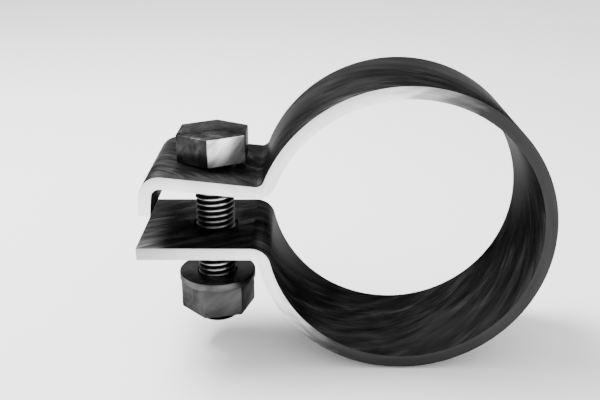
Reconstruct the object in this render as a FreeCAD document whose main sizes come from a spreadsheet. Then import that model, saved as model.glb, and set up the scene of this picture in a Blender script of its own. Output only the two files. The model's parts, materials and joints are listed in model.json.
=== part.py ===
import FreeCAD, Part
import math
import os
import Sketcher

# Strap clamp for a steel pipe: one bent flat strip with two bolted ears, an M10 hex bolt,
# a flat washer and a plain hex nut.
# Frame: origin at the centre of the pipe bore, Y along the pipe, Z along the bolt (up),
# ears towards -X. Millimetres and degrees.
#
# The strip is one piece of steel. It is parted in two here, at the back of the ring,
# so that its springing shut can be a hinge there. Both halves are drawn in the same way:
# ring below, ear level and towards -X. The upper half is then turned over about X.

V = FreeCAD.Vector
doc = FreeCAD.newDocument("PipeClamp")

# ---------------------------------------------------------------- driving dimensions
SIZES = [
    ("bore_radius", 33.4, "inside of the ring, as sprung open"),
    ("band_thickness", 3.0, "strip thickness"),
    ("band_width", 33.5, "strip width, along the pipe"),
    ("bend_radius", 2.0, "inside radius of every bend"),
    ("ear_drop", 3.6, "ring centre down to the lower ear's upper face"),
    ("ear_past_bolt", 17.8, "bolt's axis to the lower ear's end"),
    ("upper_rise", 5.35, "ring centre square across to the upper ear's under face"),
    ("lip_past_bolt", 16.9, "bolt's place along the upper ear to the lip's outer face"),
    ("upper_tilt", 6.1, "slope of the upper ear before tightening, degrees"),
    ("lip_depth", 7.2, "lip edge below the upper ear's under face"),
    ("bolt_from_ring", 10.8, "outside of the ring to the bolt's axis"),
    ("ear_hole_clearance", 1.5, "ear hole diameter over the bolt's"),
    ("upper_hole_lead", 0.3, "upper hole nearer the ring than the bolt, before tightening"),
    ("bolt_diameter", 10.0, "thread size M10"),
    ("bolt_length", 45.0, "under the head"),
    ("tip_chamfer", 1.0, "at the bolt's point"),
    ("head_flats", 17.0, "across flats of the bolt head"),
    ("head_height", 7.0, "bolt head"),
    ("head_turn", 28.7, "turn of the head about the bolt's axis, degrees"),
    ("head_gap", 0.05, "head off the upper ear's high side"),
    ("washer_diameter", 20.0, "outside of the washer"),
    ("washer_hole_clearance", 0.5, "washer hole diameter over the bolt's"),
    ("washer_thickness", 2.0, "washer"),
    ("nut_flats", 17.0, "across flats of the nut"),
    ("nut_height", 8.0, "nut"),
    ("nut_chamfer", 0.6, "countersink at each end of the nut's bore"),
    ("nut_turn", 13.5, "turn of the nut about the bolt's axis, degrees"),
    ("thread_clearance", 0.05, "radial play between bolt and nut"),
    ("nut_from_tip", 3.75, "bolt's point below the nut's lower face, before tightening"),
]
sheet = doc.addObject("Spreadsheet::Sheet", "Sizes")
for row, (alias, value, note) in enumerate(SIZES, start=1):
    sheet.set(f"A{row}", alias)
    sheet.set(f"B{row}", str(value))
    sheet.set(f"C{row}", note)
    sheet.setAlias(f"B{row}", alias)
doc.recompute()


CELLS = {alias: f"Sizes.{alias}" for alias, value, note in SIZES}


def bind(thing, path, expression):
    """Tie a property to an expression on the sheet; {alias} stands for a cell."""
    thing.setExpression(path, expression.format_map(CELLS))


def value(expression):
    """What such an expression comes to, for the first shape of a sketch."""
    return float(sheet.evalExpression(expression.format_map(CELLS)))


# Places that several pieces share, as expressions on the sheet.
RING_OUTSIDE = "({bore_radius} + {band_thickness})"
BOLT_PLACE = "(" + RING_OUTSIDE + " + {bolt_from_ring})"
EAR_HOLE = "({bolt_diameter} + {ear_hole_clearance})"
NUT_BORE = "({bolt_diameter} / 2 + {thread_clearance})"


# ---------------------------------------------------------------- sketch helpers
def new_body(label):
    body = doc.addObject("PartDesign::Body", label)
    body.Label = label
    return body


def new_sketch(body, name, plane):
    """A sketch on one of the body's own origin planes."""
    sketch = body.newObject("Sketcher::SketchObject", name)
    planes = {feature.Role: feature for feature in body.Origin.OriginFeatures}
    sketch.AttachmentSupport = (planes[plane], [""])
    sketch.MapMode = "FlatFace"
    return sketch


def constrain(sketch, kind, *where):
    return sketch.addConstraint(Sketcher.Constraint(kind, *where))


def dimension(sketch, name, expression, kind, *where):
    """A named dimension, held at the value that an expression on the sheet gives."""
    datum = value(expression)
    index = constrain(sketch, kind, *where, math.radians(datum) if kind == "Angle" else datum)
    sketch.renameConstraint(index, name)
    bind(sketch, f"Constraints.{name}", expression)


# An element of an outline is its index with the vertices where the outline enters and leaves it.
def add_line(sketch, start, end):
    return sketch.addGeometry(Part.LineSegment(V(*start, 0), V(*end, 0))), 1, 2


def add_arc(sketch, centre, radius, start, end):
    """An arc from angle start to angle end, in degrees; end below start runs clockwise."""
    circle = Part.Circle(V(*centre, 0), V(0, 0, 1), radius)
    low, high = sorted((math.radians(start), math.radians(end)))
    index = sketch.addGeometry(Part.ArcOfCircle(circle, low, high))
    return (index, 1, 2) if end > start else (index, 2, 1)


def join(sketch, first, second, tangent):
    """Join the end of one outline element to the start of the next."""
    kind = "Tangent" if tangent else "Coincident"
    constrain(sketch, kind, first[0], first[2], second[0], second[1])


def add_polygon(sketch, points):
    """A closed outline of straight sides, each from its point to the next."""
    sides = []
    for start, end in zip(points, points[1:] + points[:1]):
        sides.append(add_line(sketch, start, end))
    for side, following in zip(sides, sides[1:] + sides[:1]):
        join(sketch, side, following, False)
    return [side[0] for side in sides]


ORIGIN = (-1, 1)
X_AXIS = (-1, 1)
CENTRE = 3


# ---------------------------------------------------------------- the strip
def band_outline(body, drop, reach, split, lip):
    """Edge-on outline of half the strip: half ring, one bend, the ear and perhaps a lip.

    drop and reach place the ear. split is the parting line's angle to the X axis: the slope
    that the ear is given later turns that line onto the axis.
    """
    sketch = new_sketch(body, body.Label + "_outline", "XZ_Plane")
    inner = value("{bore_radius}")
    outer = value(RING_OUTSIDE)
    thick = value("{band_thickness}")
    bend = value("{bend_radius}")
    ear_top = -value(drop)
    ear_bottom = ear_top - thick
    end_x = -value(reach)
    split_angle = value(split) if split else 0.0
    bend_z = ear_bottom - bend
    bend_x = -math.sqrt((outer + bend) ** 2 - bend_z ** 2)
    leave = math.degrees(math.atan2(-bend_z, -bend_x))
    split_x = math.cos(math.radians(split_angle))
    split_z = math.sin(math.radians(split_angle))

    ring_out = add_arc(sketch, (0, 0), outer, split_angle, leave - 180)
    bend_in = add_arc(sketch, (bend_x, bend_z), bend, leave, 90)
    if lip:
        lip_x = end_x + thick + bend
        lip_z = ear_top + bend
        lip_edge = ear_top + value("{lip_depth}")
        ear_under = add_line(sketch, (bend_x, ear_bottom), (lip_x, ear_bottom))
        lip_out = add_arc(sketch, (lip_x, lip_z), bend + thick, 270, 180)
        lip_face = add_line(sketch, (end_x, lip_z), (end_x, lip_edge))
        end = add_line(sketch, (end_x, lip_edge), (end_x + thick, lip_edge))
        lip_back = add_line(sketch, (end_x + thick, lip_edge), (end_x + thick, lip_z))
        lip_in = add_arc(sketch, (lip_x, lip_z), bend, 180, 270)
        ear_over = add_line(sketch, (lip_x, ear_top), (bend_x, ear_top))
    else:
        ear_under = add_line(sketch, (bend_x, ear_bottom), (end_x, ear_bottom))
        end = add_line(sketch, (end_x, ear_bottom), (end_x, ear_top))
        ear_over = add_line(sketch, (end_x, ear_top), (bend_x, ear_top))
    bend_out = add_arc(sketch, (bend_x, bend_z), bend + thick, 90, leave)
    ring_in = add_arc(sketch, (0, 0), inner, leave + 180, 360 + split_angle)
    parting = add_line(sketch, (inner * split_x, inner * split_z), (outer * split_x, outer * split_z))

    join(sketch, ring_out, bend_in, True)
    join(sketch, bend_in, ear_under, True)
    if lip:
        join(sketch, ear_under, lip_out, True)
        join(sketch, lip_out, lip_face, True)
        join(sketch, lip_face, end, False)
        join(sketch, end, lip_back, False)
        join(sketch, lip_back, lip_in, True)
        join(sketch, lip_in, ear_over, True)
        constrain(sketch, "Coincident", lip_in[0], CENTRE, lip_out[0], CENTRE)
        constrain(sketch, "Vertical", lip_face[0])
        constrain(sketch, "Vertical", lip_back[0])
        constrain(sketch, "Horizontal", end[0])
        dimension(sketch, "lip_bend", "{bend_radius}", "Radius", lip_in[0])
        dimension(sketch, "lip_depth", "{lip_depth}", "Distance", end[0], 1, ear_over[0])
        dimension(sketch, "reach", reach, "Distance", *ORIGIN, lip_face[0])
    else:
        join(sketch, ear_under, end, False)
        join(sketch, end, ear_over, False)
        constrain(sketch, "Vertical", end[0])
        dimension(sketch, "reach", reach, "Distance", *ORIGIN, end[0])
    join(sketch, ear_over, bend_out, True)
    join(sketch, bend_out, ring_in, True)
    join(sketch, ring_in, parting, False)
    join(sketch, parting, ring_out, False)

    constrain(sketch, "Coincident", ring_out[0], CENTRE, *ORIGIN)
    constrain(sketch, "Coincident", ring_in[0], CENTRE, *ORIGIN)
    constrain(sketch, "Coincident", bend_in[0], CENTRE, bend_out[0], CENTRE)
    constrain(sketch, "Horizontal", ear_under[0])
    constrain(sketch, "Horizontal", ear_over[0])
    constrain(sketch, "PointOnObject", *ORIGIN, parting[0])
    if split:
        dimension(sketch, "split", split, "Angle", *X_AXIS, parting[0], 1)
    else:
        constrain(sketch, "Horizontal", parting[0])
    dimension(sketch, "inside", "{bore_radius}", "Radius", ring_in[0])
    dimension(sketch, "outside", RING_OUTSIDE, "Radius", ring_out[0])
    dimension(sketch, "bend", "{bend_radius}", "Radius", bend_in[0])
    dimension(sketch, "drop", drop, "Distance", *ORIGIN, ear_over[0])
    return sketch


def band_half(label, drop, reach, split, lip, hole_place):
    """Half of the strip, with the bolt hole punched square through its ear."""
    body = new_body(label)
    strip = body.newObject("PartDesign::Pad", label + "_strip")
    strip.Profile = band_outline(body, drop, reach, split, lip)
    strip.SideType = "Symmetric"
    bind(strip, "Length", "{band_width}")
    doc.recompute()
    unpunched = body.Shape.Volume

    radius = value(EAR_HOLE) / 2
    hole = new_sketch(body, label + "_hole", "XY_Plane")
    circle = hole.addGeometry(Part.Circle(V(-value(hole_place), 0, 0), V(0, 0, 1), radius))
    constrain(hole, "PointOnObject", circle, CENTRE, -1)
    dimension(hole, "place", hole_place, "DistanceX", circle, CENTRE, *ORIGIN)
    dimension(hole, "bore", EAR_HOLE, "Diameter", circle)
    punch = body.newObject("PartDesign::Pocket", label + "_punch")
    punch.Profile = hole
    punch.SideType = "Symmetric"
    punch.Type = "ThroughAll"
    doc.recompute()
    punched = unpunched - body.Shape.Volume
    expected = math.pi * radius ** 2 * value("{band_thickness}")
    if abs(punched - expected) > expected / 100:
        raise RuntimeError(f"{label}: the ear hole took {punched:.1f} mm3, not {expected:.1f}")
    return body


lower = band_half("band_lower_half", "{ear_drop}", BOLT_PLACE + " + {ear_past_bolt}", None, False,
                  BOLT_PLACE)

# The upper ear's hole lies upper_hole_lead nearer the ring than the bolt, at mid thickness.
UPPER_HOLE = ("((" + BOLT_PLACE + " - {upper_hole_lead}) / cos({upper_tilt} * 1 deg)"
              " + ({upper_rise} + {band_thickness} / 2) * tan({upper_tilt} * 1 deg))")
upper = band_half("band_upper_half", "{upper_rise}", BOLT_PLACE + " + {lip_past_bolt}",
                  "-{upper_tilt}", True, UPPER_HOLE)
turned_over = FreeCAD.Rotation(V(1, 0, 0), 180)
raised = FreeCAD.Rotation(V(0, 1, 0), value("{upper_tilt}"))
upper.Placement = FreeCAD.Placement(V(0, 0, 0), raised.multiply(turned_over))


# ---------------------------------------------------------------- bolt, washer and nut
def hexagon(body, name, flats):
    """A regular hexagon about the origin, a corner on the X axis."""
    sketch = new_sketch(body, name, "XY_Plane")
    corner_radius = value(flats + " / sqrt(3)")
    corners = []
    for side in range(6):
        angle = math.radians(60 * side)
        corners.append((corner_radius * math.cos(angle), corner_radius * math.sin(angle)))
    sides = add_polygon(sketch, corners)
    circle = sketch.addGeometry(Part.Circle(V(0, 0, 0), V(0, 0, 1), corner_radius), True)
    constrain(sketch, "Coincident", circle, CENTRE, *ORIGIN)
    for side in sides:
        constrain(sketch, "PointOnObject", side, 1, circle)
    for side in sides[1:]:
        constrain(sketch, "Equal", sides[0], side)
    constrain(sketch, "PointOnObject", sides[0], 1, -1)
    dimension(sketch, "corners", flats + " / sqrt(3)", "Radius", circle)
    return sketch


def stand(body, height, turn):
    """Put a body on the bolt's axis at a height, turned about that axis."""
    body.Placement.Rotation = FreeCAD.Rotation(V(0, 0, 1), value(turn))
    bind(body, "Placement.Base.x", "-" + BOLT_PLACE)
    bind(body, "Placement.Base.z", height)


# The head is square to the bolt, so it meets the sloping ear with its corner nearest the
# ear's end. With head_turn from 0 to 60 degrees that is one of these two corners.
HEAD_TOUCH = ("(" + BOLT_PLACE + " + {head_flats} / sqrt(3)"
              " * max(cos({head_turn} * 1 deg); cos(({head_turn} - 60) * 1 deg)))")
HEAD_UNDER = ("({upper_rise} + {band_thickness} + " + HEAD_TOUCH + " * sin({upper_tilt} * 1 deg))"
              " / cos({upper_tilt} * 1 deg) + {head_gap}")
NUT_UNDER = HEAD_UNDER + " - {bolt_length} + {nut_from_tip}"


def make_bolt():
    body = new_body("hex_bolt")
    head = body.newObject("PartDesign::Pad", "head")
    head.Profile = hexagon(body, "head_hexagon", "{head_flats}")
    bind(head, "Length", "{head_height}")

    radius = value("{bolt_diameter} / 2")
    length = value("{bolt_length}")
    chamfer = value("{tip_chamfer}")
    profile = new_sketch(body, "shank_profile", "XZ_Plane")
    points = [(0, 0), (radius, 0), (radius, chamfer - length), (radius - chamfer, -length),
              (0, -length)]
    top, side, slope, tip, axis = add_polygon(profile, points)
    constrain(profile, "Coincident", top, 1, *ORIGIN)
    constrain(profile, "Horizontal", top)
    constrain(profile, "Vertical", side)
    constrain(profile, "Horizontal", tip)
    constrain(profile, "Vertical", axis)
    dimension(profile, "radius", "{bolt_diameter} / 2", "Distance", top)
    dimension(profile, "length", "{bolt_length}", "Distance", axis)
    dimension(profile, "thread_end", "{bolt_length} - {tip_chamfer}", "Distance", side)
    dimension(profile, "tip", "{bolt_diameter} / 2 - {tip_chamfer}", "Distance", tip)
    shank = body.newObject("PartDesign::Revolution", "shank")
    shank.Profile = profile
    shank.ReferenceAxis = (profile, ["V_Axis"])
    shank.Angle = 360
    stand(body, HEAD_UNDER, "{head_turn}")
    return body


def make_washer():
    body = new_body("flat_washer")
    rings = new_sketch(body, "washer_rings", "XY_Plane")
    for name, diameter in (("outside", "{washer_diameter}"),
                           ("hole", "{bolt_diameter} + {washer_hole_clearance}")):
        circle = rings.addGeometry(Part.Circle(V(0, 0, 0), V(0, 0, 1), value(diameter) / 2))
        constrain(rings, "Coincident", circle, CENTRE, *ORIGIN)
        dimension(rings, name, diameter, "Diameter", circle)
    plate = body.newObject("PartDesign::Pad", "washer_plate")
    plate.Profile = rings
    bind(plate, "Length", "{washer_thickness}")
    stand(body, NUT_UNDER + " + {nut_height}", "{nut_turn}")
    return body


def make_nut():
    body = new_body("hex_nut")
    block = body.newObject("PartDesign::Pad", "nut_block")
    block.Profile = hexagon(body, "nut_hexagon", "{nut_flats}")
    bind(block, "Length", "{nut_height}")

    # The bore and its two countersinks are turned in one cut.
    bore = value(NUT_BORE)
    tall = value("{nut_height}")
    sink = value("{nut_chamfer}")
    profile = new_sketch(body, "nut_bore_profile", "XZ_Plane")
    points = [(0, 0), (bore + sink, 0), (bore, sink), (bore, tall - sink), (bore + sink, tall),
              (0, tall)]
    low, low_sink, wall, high_sink, high, axis = add_polygon(profile, points)
    constrain(profile, "Coincident", low, 1, *ORIGIN)
    constrain(profile, "Horizontal", low)
    constrain(profile, "Horizontal", high)
    constrain(profile, "Vertical", wall)
    constrain(profile, "Vertical", axis)
    constrain(profile, "Equal", low, high)
    constrain(profile, "Equal", low_sink, high_sink)
    dimension(profile, "tall", "{nut_height}", "Distance", axis)
    dimension(profile, "straight", "{nut_height} - 2 * {nut_chamfer}", "Distance", wall)
    dimension(profile, "mouth", NUT_BORE + " + {nut_chamfer}", "Distance", low)
    dimension(profile, "bore", NUT_BORE, "DistanceX", *ORIGIN, wall, 1)
    doc.recompute()
    unbored = body.Shape.Volume
    cut = body.newObject("PartDesign::Groove", "nut_bore")
    cut.Profile = profile
    cut.ReferenceAxis = (profile, ["V_Axis"])
    cut.Angle = 360
    doc.recompute()
    if unbored - body.Shape.Volume < math.pi * bore ** 2 * tall:
        raise RuntimeError("hex_nut: the bore was not cut")
    stand(body, NUT_UNDER, "{nut_turn}")
    return body


bolt = make_bolt()
washer = make_washer()
nut = make_nut()
doc.recompute()

# ---------------------------------------------------------------- check and write
for thing in doc.Objects:
    faults = [word for word in thing.State if word in ("Invalid", "Error")]
    if faults:
        raise RuntimeError(f"{thing.Name}: {faults}")
    if thing.TypeId == "Sketcher::SketchObject" and not thing.FullyConstrained:
        raise RuntimeError(f"{thing.Name}: the sketch is not fully constrained")

os.makedirs("parts", exist_ok=True)
for body in (lower, upper, bolt, washer, nut):
    shape = body.Shape
    if shape.isNull() or not shape.isValid() or len(shape.Solids) != 1:
        raise RuntimeError(f"{body.Label}: not one valid solid")
    shape.exportStep(f"parts/{body.Label}.step")
    box = shape.BoundBox
    print(f"{body.Label}: {shape.Volume:.1f} mm3, x {box.XMin:.2f} to {box.XMax:.2f},"
          f" y {box.YMin:.2f} to {box.YMax:.2f}, z {box.ZMin:.2f} to {box.ZMax:.2f}")
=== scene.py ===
import json
import math
import bpy
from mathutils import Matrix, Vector


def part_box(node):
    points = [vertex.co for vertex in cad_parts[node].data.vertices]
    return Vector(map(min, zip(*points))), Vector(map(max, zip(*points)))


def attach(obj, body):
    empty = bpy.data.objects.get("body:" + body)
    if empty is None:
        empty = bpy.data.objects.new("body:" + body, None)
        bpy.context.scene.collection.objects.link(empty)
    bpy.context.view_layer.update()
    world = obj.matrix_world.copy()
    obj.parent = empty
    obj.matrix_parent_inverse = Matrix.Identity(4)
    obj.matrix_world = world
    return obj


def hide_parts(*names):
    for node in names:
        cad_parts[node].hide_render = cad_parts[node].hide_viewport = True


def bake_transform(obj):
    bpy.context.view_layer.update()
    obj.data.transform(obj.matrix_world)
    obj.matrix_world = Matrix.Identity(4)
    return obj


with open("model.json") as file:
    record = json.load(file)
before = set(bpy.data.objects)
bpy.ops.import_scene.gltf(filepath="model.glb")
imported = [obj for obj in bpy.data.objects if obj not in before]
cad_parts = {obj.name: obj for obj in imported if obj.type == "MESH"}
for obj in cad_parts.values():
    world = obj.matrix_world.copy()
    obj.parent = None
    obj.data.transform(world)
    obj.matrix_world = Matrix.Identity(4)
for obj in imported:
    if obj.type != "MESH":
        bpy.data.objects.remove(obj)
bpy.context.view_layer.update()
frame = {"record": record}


# ------------------------------------------------------------------ the strip
# One flat strip of hot rolled steel, 3 mm by 33.5 mm, bent cold: ear, ring, ear and a short
# lip. Its faces keep the dark streaked mill finish, with painted shade inside the ring and painted
# light on the ears; its sheared edges carry a painted highlight near the ears and painted shade
# along the lower ear. The bolt holes were punched while it was flat.
ring_inside = frame["record"]["mounts"][0]["dims"]["r_mm"] / 1000
lower_low, lower_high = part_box("band_lower_half")
washer_low, washer_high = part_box("flat_washer")
ring_outside = lower_high[0]
strip_thick = ring_outside - ring_inside
strip_wide = lower_high[1] - lower_low[1]
bend_inside = 0.002
ear_drop = 0.0036
upper_rise = 0.00535
upper_reach = 0.0641
upper_slope = math.radians(6.1)
lip_depth = 0.0072
hole_radius = 0.00575
hole_lead = 0.0003
edge_round = 0.00018
punch_length = 0.03
weld = 0.000001
bolt_x = (washer_low[0] + washer_high[0]) / 2
ring_steps = 150
bend_steps = 10


def start_mesh(add, **how):
    """Add a primitive alone in the selection and go into edit mode with all of it selected."""
    bpy.ops.object.select_all(action="DESELECT")
    add(**how)
    bpy.ops.object.mode_set(mode="EDIT")
    bpy.ops.mesh.select_mode(type="VERT")
    bpy.ops.mesh.select_all(action="SELECT")
    return bpy.context.object


def extrude(x, y, z):
    bpy.ops.mesh.extrude_region_move(TRANSFORM_OT_translate={"value": (x, y, z)})


def swing(x, z, degrees, steps):
    """Spin the selected edges about a line along Y through (x, z)."""
    bpy.ops.mesh.spin(steps=steps, angle=math.radians(degrees), center=(x, 0, z), axis=(0, -1, 0))


def tidy_mesh(piece):
    """Merge doubles, turn the faces outwards and put the place into the mesh."""
    if bpy.context.mode != "EDIT_MESH":
        select_only(piece)
        bpy.ops.object.mode_set(mode="EDIT")
    bpy.ops.mesh.select_all(action="SELECT")
    bpy.ops.mesh.remove_doubles(threshold=weld)
    bpy.ops.mesh.normals_make_consistent(inside=False)
    bpy.ops.object.mode_set(mode="OBJECT")
    bpy.ops.object.transform_apply(location=True, rotation=True, scale=True)


def select_only(piece):
    bpy.ops.object.select_all(action="DESELECT")
    piece.select_set(True)
    bpy.context.view_layer.objects.active = piece


def modify(piece, kind, **settings):
    """Add a modifier and apply it."""
    select_only(piece)
    modifier = piece.modifiers.new(kind, kind)
    for name, setting in settings.items():
        setattr(modifier, name, setting)
    bpy.ops.object.modifier_apply(modifier=modifier.name)


def combine(piece, tool, operation):
    """Cut, join or trim a piece with a tool, which goes."""
    modify(piece, "BOOLEAN", object=tool, operation=operation, solver="EXACT")
    bpy.data.objects.remove(tool)


def punch(piece, radius, place, slope=0.0):
    bpy.ops.object.select_all(action="DESELECT")
    bpy.ops.mesh.primitive_cylinder_add(vertices=96, radius=radius, depth=punch_length,
                                        location=place, rotation=(0, slope, 0))
    combine(piece, bpy.context.object, "DIFFERENCE")


def ease(piece, width):
    """Round the sharp edges a little."""
    modify(piece, "BEVEL", width=width, segments=2, limit_method="ANGLE",
           angle_limit=math.radians(35))


def shade(piece, degrees):
    """Shade smooth over edges that turn less than the angle."""
    select_only(piece)
    bpy.ops.object.shade_smooth_by_angle(angle=math.radians(degrees))


def bend_centre(drop):
    """Centre of the bend between an ear and the ring, on the ear's side of the centre line."""
    z = drop + strip_thick + bend_inside
    x = -math.sqrt((ring_outside + bend_inside) ** 2 - z ** 2)
    return x, z, math.degrees(math.atan2(z, -x))


def sloped(x, z):
    """A point of the level upper ear, raised by its slope about the ring's centre."""
    return (x * math.cos(upper_slope) + z * math.sin(upper_slope),
            z * math.cos(upper_slope) - x * math.sin(upper_slope))


# From the lower ear's end to the lip: the four edges of the strip's section are drawn along.
low_bend_x, low_bend_z, low_leave = bend_centre(ear_drop)
high_bend_x, high_bend_z, high_leave = bend_centre(upper_rise)
band = start_mesh(bpy.ops.mesh.primitive_plane_add, size=1, rotation=(0, math.pi / 2, 0),
                  location=(lower_low[0], 0, -ear_drop - strip_thick / 2))
bpy.ops.object.mode_set(mode="OBJECT")
band.scale = (strip_thick, strip_wide, 1)
bpy.ops.object.transform_apply(location=True, rotation=True, scale=True)
bpy.ops.object.mode_set(mode="EDIT")
bpy.ops.mesh.delete(type="ONLY_FACE")
bpy.ops.mesh.select_all(action="SELECT")
extrude(low_bend_x - lower_low[0], 0, 0)
swing(low_bend_x, -low_bend_z, 90 - low_leave, bend_steps)
ring_turn = 360 - low_leave - high_leave - math.degrees(upper_slope)
swing(0, 0, -ring_turn, ring_steps)
swing(*sloped(high_bend_x, high_bend_z), 90 - high_leave, bend_steps)
ear_length = upper_reach - strip_thick - bend_inside + high_bend_x
extrude(-ear_length * math.cos(upper_slope), 0, ear_length * math.sin(upper_slope))
lip_centre = sloped(strip_thick + bend_inside - upper_reach, upper_rise - bend_inside)
swing(*lip_centre, -90, bend_steps)
lip_length = lip_depth - bend_inside
extrude(-lip_length * math.sin(upper_slope), 0, -lip_length * math.cos(upper_slope))
bpy.ops.mesh.select_all(action="SELECT")
bpy.ops.mesh.remove_doubles(threshold=weld)
bpy.ops.mesh.select_all(action="DESELECT")
bpy.ops.mesh.select_non_manifold(extend=False)
bpy.ops.mesh.edge_face_add()
tidy_mesh(band)
band.name = "strap_band"
punch(band, hole_radius, (bolt_x, 0, -ear_drop))
upper_hole_x = bolt_x + hole_lead
upper_hole_z = ((upper_rise + strip_thick / 2 - upper_hole_x * math.sin(upper_slope))
                / math.cos(upper_slope))
punch(band, hole_radius, (upper_hole_x, 0, upper_hole_z), upper_slope)
ease(band, edge_round)
shade(band, 30)

# Each point's place along, across and outwards in the strip, for the streaks of its finish and its
# painted light and shade.
along = band.data.attributes.new("strip", "FLOAT_VECTOR", "POINT")
ring_middle = (ring_inside + ring_outside) / 2
for vertex, entry in zip(band.data.vertices, along.data):
    x, y, z = vertex.co
    low_ear = x < low_bend_x and z < 0
    high_ear = x < high_bend_x and z > 0
    if low_ear or high_ear:
        side = 1 if high_ear else -1
        entry.vector = (side * (math.pi * ring_middle + low_bend_x - x), y, ring_outside)
    else:
        entry.vector = (math.atan2(z, x) * ring_middle, y, math.hypot(x, z))


class Wire:
    """A shader socket. Arithmetic adds Math nodes; node() adds any other kind."""

    def __init__(self, tree, socket=None):
        self.tree = tree
        self.socket = socket

    def node(self, kind, settings=None, sockets=None, out=0):
        made = self.tree.nodes.new("ShaderNode" + kind)
        for name, setting in (settings or {}).items():
            if name == "stops":
                while len(made.color_ramp.elements) < len(setting):
                    made.color_ramp.elements.new(0.5)
                for element, (position, grey) in zip(made.color_ramp.elements, setting):
                    element.position = position
                    element.color = (grey, grey, grey, 1)
            else:
                setattr(made, name, setting)
        for name, given in (sockets or {}).items():
            if isinstance(given, Wire):
                self.tree.links.new(given.socket, made.inputs[name])
            else:
                made.inputs[name].default_value = given
        return Wire(self.tree, made.outputs[out] if made.outputs else None)

    def maths(self, operation, first, second=0.0):
        return self.node("Math", {"operation": operation}, {0: first, 1: second})

    def __add__(self, other):
        return self.maths("ADD", self, other)

    def __sub__(self, other):
        return self.maths("SUBTRACT", self, other)

    def __rsub__(self, other):
        return self.maths("SUBTRACT", other, self)

    def __mul__(self, other):
        return self.maths("MULTIPLY", self, other)

    def __truediv__(self, other):
        return self.maths("DIVIDE", self, other)

    def __pow__(self, other):
        return self.maths("POWER", self, other)

    __radd__ = __add__
    __rmul__ = __mul__


def new_material(name):
    material = bpy.data.materials.new(name)
    material.use_nodes = True
    material.node_tree.nodes.clear()
    return material, Wire(material.node_tree)


relief_depth = 0.00005


def steel(wire, colour, roughness, height, bump, rim=0.4):
    """Metal with its colour, roughness and relief from wires; rim dims what grazes it."""
    relief = wire.node("Bump", {}, {"Strength": bump, "Distance": relief_depth, "Height": height})
    shader = wire.node("BsdfPrincipled", {},
                       {"Base Color": colour, "Roughness": roughness, "Metallic": 1.0,
                        "Specular Tint": (rim, rim, rim, 1), "Normal": relief})
    wire.node("OutputMaterial", {}, {"Surface": shader})


def noise(wire, place, grain, detail, turn=(0, 0, 0), twist=0.0):
    """Noise of so many grains per metre along each axis, the axes turned beforehand."""
    sizes = [1 / count if count else 0 for count in grain]
    spread = wire.node("Mapping", {"vector_type": "TEXTURE"},
                       {"Vector": place, "Rotation": turn, "Scale": sizes})
    return wire.node("TexNoise", {}, {"Vector": spread, "Scale": 1.0, "Detail": detail,
                                      "Distortion": twist})


def ramp(wire, factor, *stops):
    return wire.node("ValToRGB", {"stops": stops}, {"Fac": factor})


def split(wire, vector, axis):
    return wire.node("SeparateXYZ", {}, {"Vector": vector}, out=axis)


def rolled_face():
    """Dark mill finish with slanting streaks; painted shade makes it a little darker inside and
    painted light makes it lighter on the ears.
    """
    material, wire = new_material("mill_finish_and_painted_light")
    ear_starts, ear_fades = 0.1, 0.01
    place = wire.node("Attribute", {"attribute_name": "strip"}, {}, out=1)
    smoke = noise(wire, place, (60, 360, 0), 4.0, turn=(0, 0, 0.5), twist=0.6)
    drawn = noise(wire, place, (110, 2200, 0), 4.0, turn=(0, 0, 0.42))
    cloud = noise(wire, place, (38, 60, 0), 2.0, twist=1.2)
    # Painted shade makes the ring's inside a little darker; painted light makes the ears lighter.
    inside = wire.maths("LESS_THAN", split(wire, place, 2), ring_middle)
    ear = ramp(wire, (wire.maths("ABSOLUTE", split(wire, place, 0)) - ear_starts) / ear_fades,
               (0.0, 0.0), (1.0, 1.0))
    tone = smoke * 0.5 + drawn * 0.3 + cloud * 0.25 - inside * 0.03 + ear * 0.07
    colour = ramp(wire, tone, (0.36, 0.014), (0.52, 0.034), (0.62, 0.062), (0.76, 0.13))
    steel(wire, colour, 0.30 + drawn * 0.22, drawn, 0.25, rim=0.25)
    return material


def sheared_edge():
    """The cut edge, with a painted highlight: bright towards the ears and dull on the ring's far
    side, and painted shade along the lower ear's edge.
    """
    material, wire = new_material("sheared_edge")
    bright_up, bright_west = 0.47, 0.88
    strip_start, shade_run = -0.14, 0.03
    place = wire.node("TexCoord", {}, {}, out=3)
    # A painted highlight: the edge is bright towards the top and the ears' side and dull on the
    # ring's far side.
    toward = (split(wire, place, 2) * bright_up - split(wire, place, 0) * bright_west) / ring_outside
    along_strip = wire.node("Attribute", {"attribute_name": "strip"}, {}, out=1)
    length = split(wire, along_strip, 0)
    torn = noise(wire, length * 180 + split(wire, along_strip, 2) * 400, (1, 0, 0), 2.0)
    smear = noise(wire, along_strip, (90, 0, 800), 2.0)
    painted_highlight = ramp(wire, toward + (torn - 0.5) * 0.35 + (smear - 0.5) * 0.3,
                   (0.0, 0.035), (0.2, 0.13), (0.38, 0.45), (0.54, 0.9))
    # Painted shade darkens the lower ear's cut edge towards its end, under the upper ear.
    lower_ear_painted_shade = ramp(wire, (length - strip_start) / shade_run, (0.0, 0.36), (1.0, 1.0))
    colour = painted_highlight * ramp(wire, smear, (0.3, 0.82), (0.6, 1.0)) * lower_ear_painted_shade
    steel(wire, colour, 0.34 + torn * 0.1, torn, 0.05, rim=1.0)
    return material


band.data.materials.clear()
band.data.materials.append(rolled_face())
band.data.materials.append(sheared_edge())
for polygon in band.data.polygons:
    on_cut_edge = abs(polygon.normal.y) > 0.95
    if on_cut_edge:
        polygon.material_index = 1
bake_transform(band)
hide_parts("band_lower_half", "band_upper_half")


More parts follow.
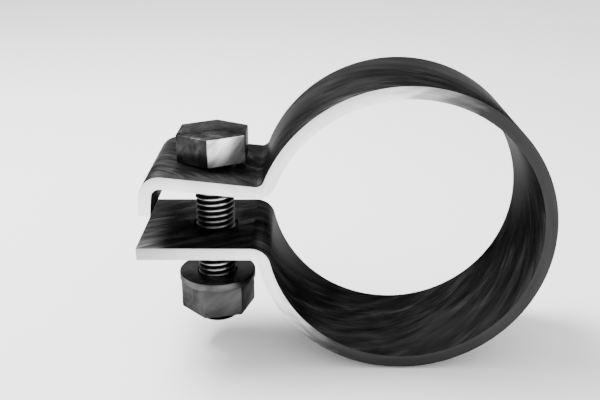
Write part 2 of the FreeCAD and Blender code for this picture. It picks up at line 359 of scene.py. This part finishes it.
# ------------------------------------------------------------------ the bolt
# A hex bolt forged from steel rod, its thread rolled over the whole shank: M10 by 45 mm at
# 1.5 mm pitch. It passes down through both ears, its head on the upper one.
bolt_low, bolt_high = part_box("hex_bolt")
pitch = 0.0015
bolt_radius = 0.005
thread_depth = 0.6134 * pitch
bolt_root = bolt_radius - thread_depth
thread_steps = 48
bolt_length = 0.045
head_under = bolt_low[2] + bolt_length
head_flats = 0.017
head_turn = math.radians(28.7)
tip_chamfer = 0.001
corner_round = 0.00025
over = 0.001
# Angles from +X of the head's flat and of the thread's side that carry painted highlights.
bright_flat = head_turn + math.radians(270)
bright_thread = math.radians(278)


def thread_rod(low, high, play):
    """A threaded rod about the bolt's axis from low to high, play larger in radius.

    One pitch of the thread's outline is screwed round and up, and the rod cut to length.
    """
    turns_below = math.ceil((head_under - low) / pitch) + 2
    turns = math.ceil((high - low) / pitch) + 4
    root = bolt_root + play
    crest = bolt_radius + play
    # Root flat, flank, crest flat and flank, their heights in pitches.
    outline = [(root, 0), (root, 0.167), (crest, 0.521), (crest, 0.646), (root, 1)]
    rod = start_mesh(bpy.ops.mesh.primitive_plane_add, size=0.001,
                     location=(bolt_x, 0, head_under - turns_below * pitch))
    bpy.ops.mesh.merge(type="CENTER")
    bpy.ops.transform.translate(value=(root, 0, 0))
    for (radius, part), (next_radius, next_part) in zip(outline, outline[1:]):
        extrude(next_radius - radius, 0, (next_part - part) * pitch)
    bpy.ops.object.mode_set(mode="OBJECT")
    modify(rod, "SCREW", steps=thread_steps, render_steps=thread_steps, screw_offset=pitch,
           iterations=turns, axis="Z", use_merge_vertices=False)
    tidy_mesh(rod)
    bpy.ops.object.mode_set(mode="EDIT")
    for height, clear_below in ((low, True), (high, False)):
        bpy.ops.mesh.select_all(action="SELECT")
        bpy.ops.mesh.bisect(plane_co=(bolt_x, 0, height), plane_no=(0, 0, 1), use_fill=True,
                            clear_inner=clear_below, clear_outer=not clear_below)
    tidy_mesh(rod)
    return rod


def hex_block(flats, low, high, turn):
    """A hexagonal prism about the bolt's axis, its edges rounded a little."""
    block = start_mesh(bpy.ops.mesh.primitive_cylinder_add, vertices=6,
                       radius=flats / math.sqrt(3), depth=high - low,
                       location=(bolt_x, 0, (low + high) / 2),
                       rotation=(0, 0, turn + math.radians(30)))
    tidy_mesh(block)
    ease(block, corner_round)
    return block


# The rod runs up into the head, and a chamfered cylinder trims its tip.
bolt = thread_rod(bolt_low[2], head_under + over, 0.0)
trim_top = head_under + 2 * over
trim = start_mesh(bpy.ops.mesh.primitive_cylinder_add, vertices=96, radius=bolt_radius,
                  depth=trim_top - bolt_low[2], location=(bolt_x, 0, (bolt_low[2] + trim_top) / 2))
bpy.ops.mesh.select_all(action="DESELECT")
bpy.ops.object.mode_set(mode="OBJECT")
for polygon in trim.data.polygons:
    polygon.select = polygon.normal.z < -0.9
bpy.ops.object.mode_set(mode="EDIT")
bpy.ops.mesh.bevel(offset=tip_chamfer, segments=1, affect="EDGES")
tidy_mesh(trim)
combine(bolt, trim, "INTERSECT")
combine(bolt, hex_block(head_flats, head_under, bolt_high[2], head_turn), "UNION")
shade(bolt, 26)
bolt.name = "bolt"


def forged_steel_and_painted_light():
    """Dark streaked steel with painted highlights on one flat of the head and down one side of the
    thread, and painted light and shade on the thread's crests and roots.
    """
    material, wire = new_material("forged_steel_and_painted_light")
    flat_margin, shank_margin, head_margin = 0.0002, 0.00004, 0.0001
    place = wire.node("TexCoord", {}, {}, out=3)
    east = split(wire, place, 0) - bolt_x
    north = split(wire, place, 1)
    across = (east * east + north * north) ** 0.5
    slant = (0, -0.785, 0.5)
    streak = noise(wire, place, (120, 900, 900), 3.0, turn=slant)
    broad = noise(wire, place, (60, 260, 260), 2.0, turn=slant, twist=0.6)
    tone = streak * 0.4 + broad * 0.6
    forged = ramp(wire, tone, (0.36, 0.018), (0.52, 0.042), (0.68, 0.11))
    # A painted highlight on the head's flat that faces bright_flat.
    painted_flat_highlight = ramp(wire, tone, (0.34, 0.3), (0.5, 0.7), (0.6, 0.97))
    flat = wire.maths("GREATER_THAN", east * math.cos(bright_flat) + north * math.sin(bright_flat),
                      head_flats / 2 - flat_margin)
    head_colour = forged * (1 - flat) + painted_flat_highlight * flat
    # Painted light and shade on the thread: crests lighter, roots darker, and a painted highlight
    # down one side.
    depth = (across - bolt_root) / thread_depth + (broad - 0.5) * 0.3
    painted_thread_sheen = ramp(wire, (east * math.cos(bright_thread) + north * math.sin(bright_thread)) / across,
                 (0.8, 0.08), (0.97, 1.0))
    thread = (ramp(wire, depth, (0.35, 0.018), (0.9, 0.08))
              + ramp(wire, depth, (0.6, 0.0), (0.95, 0.85)) * painted_thread_sheen)
    shank = (wire.maths("LESS_THAN", across, bolt_radius + shank_margin)
             * wire.maths("LESS_THAN", split(wire, place, 2), head_under + head_margin))
    colour = head_colour * (1 - shank) + thread * shank
    steel(wire, colour, 0.30 + streak * 0.15, streak, 0.12)
    return material


bolt.data.materials.clear()
bolt.data.materials.append(forged_steel_and_painted_light())
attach(bolt, "bolt")
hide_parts("hex_bolt")


# ------------------------------------------------------------------ the washer
# A flat M10 washer stamped from steel sheet: the punch rounds its rims slightly. It lies on
# the nut, loose on the bolt, and the nut carries it up to the lower ear.
washer_hole_radius = 0.00525
rim_round = 0.0002


def streaked_steel(name, turn, dark, light):
    """Dark steel with soft streaks lying one way, for the stamped and the forged pieces."""
    material, wire = new_material(name)
    place = wire.node("TexCoord", {}, {}, out=3)
    streak = noise(wire, place, (90, 800, 800), 3.0, turn=turn)
    broad = noise(wire, place, (40, 190, 190), 2.0, turn=turn, twist=0.4)
    colour = ramp(wire, streak * 0.35 + broad * 0.65, (0.34, dark), (0.66, light))
    steel(wire, colour, 0.30 + streak * 0.15, streak, 0.12)
    return material


washer = start_mesh(bpy.ops.mesh.primitive_cylinder_add, vertices=128,
                    radius=(washer_high[0] - washer_low[0]) / 2,
                    depth=washer_high[2] - washer_low[2],
                    location=(bolt_x, 0, (washer_low[2] + washer_high[2]) / 2))
tidy_mesh(washer)
punch(washer, washer_hole_radius, (bolt_x, 0, washer_low[2]))
ease(washer, rim_round)
shade(washer, 30)
washer.name = "washer"
washer.data.materials.clear()
washer.data.materials.append(streaked_steel("stamped_steel", (0.0, 0.15, 0.5), 0.05, 0.11))
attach(washer, "washer")
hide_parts("flat_washer")


# ------------------------------------------------------------------ the nut
# A plain M10 hex nut, forged, faced and tapped: its bore is countersunk at both ends.
nut_low, nut_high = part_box("hex_nut")
nut_flats = 0.017
nut_turn = math.radians(13.5)
thread_play = 0.00005
sink = 0.0006
mouth = bolt_radius + thread_play + sink
nut = hex_block(nut_flats, nut_low[2], nut_high[2], nut_turn)
combine(nut, thread_rod(nut_low[2] - over, nut_high[2] + over, thread_play), "DIFFERENCE")
for face, outward, turn in ((nut_low[2], -1, 0), (nut_high[2], 1, math.pi)):
    bpy.ops.object.select_all(action="DESELECT")
    bpy.ops.mesh.primitive_cone_add(vertices=96, radius1=mouth + over, radius2=0.0,
                                    depth=mouth + over, rotation=(turn, 0, 0),
                                    location=(bolt_x, 0, face - outward * (mouth - over) / 2))
    combine(nut, bpy.context.object, "DIFFERENCE")
shade(nut, 26)
nut.name = "nut"
nut.data.materials.clear()
nut.data.materials.append(streaked_steel("faced_steel", (0.0, -0.5, 0.6), 0.026, 0.075))
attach(nut, "nut")
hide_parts("hex_nut")


# ------------------------------------------------------------------ the studio
# A pale floor under the ring, one large soft light above and to the left, a lower fill
# from the right, and the camera.
floor_gap = 0.0006
bpy.ops.object.select_all(action="DESELECT")
bpy.ops.mesh.primitive_plane_add(size=6, location=(0, 0, lower_low[2] - floor_gap))
floor = bpy.context.object
floor.name = "floor"
paper, wire = new_material("paper")
shader = wire.node("BsdfPrincipled", {}, {"Base Color": (0.97, 0.97, 0.97, 1), "Roughness": 0.9})
wire.node("OutputMaterial", {}, {"Surface": shader})
floor.data.materials.append(paper)

world = bpy.data.worlds.new("studio")
world.use_nodes = True
world.node_tree.nodes["Background"].inputs["Color"].default_value = (1, 1, 1, 1)
world.node_tree.nodes["Background"].inputs["Strength"].default_value = 1.5
bpy.context.scene.world = world


def softbox(name, place, aim, size, watts):
    lamp = bpy.data.lights.new(name, "AREA")
    lamp.shape = "SQUARE"
    lamp.size = size
    lamp.energy = watts
    box = bpy.data.objects.new(name, lamp)
    box.location = place
    box.rotation_euler = (Vector(aim) - Vector(place)).to_track_quat("-Z", "Y").to_euler()
    box.visible_camera = False
    bpy.context.collection.objects.link(box)


softbox("key", (-0.25, 0.10, 0.45), (0, 0, 0), 0.25, 7.0)
softbox("fill", (0.42, -0.34, 0.06), (-0.03, 0, 0), 0.18, 1.2)

camera = bpy.data.objects.new("camera", bpy.data.cameras.new("camera"))
camera.data.lens = 50
camera.data.sensor_width = 36
camera.data.clip_start = 0.01
camera.location = (-0.02421, -0.20008, 0.07953)
camera.rotation_euler = (math.radians(90 - 21.02), 0, math.radians(0.33))
bpy.context.collection.objects.link(camera)
bpy.context.scene.camera = camera
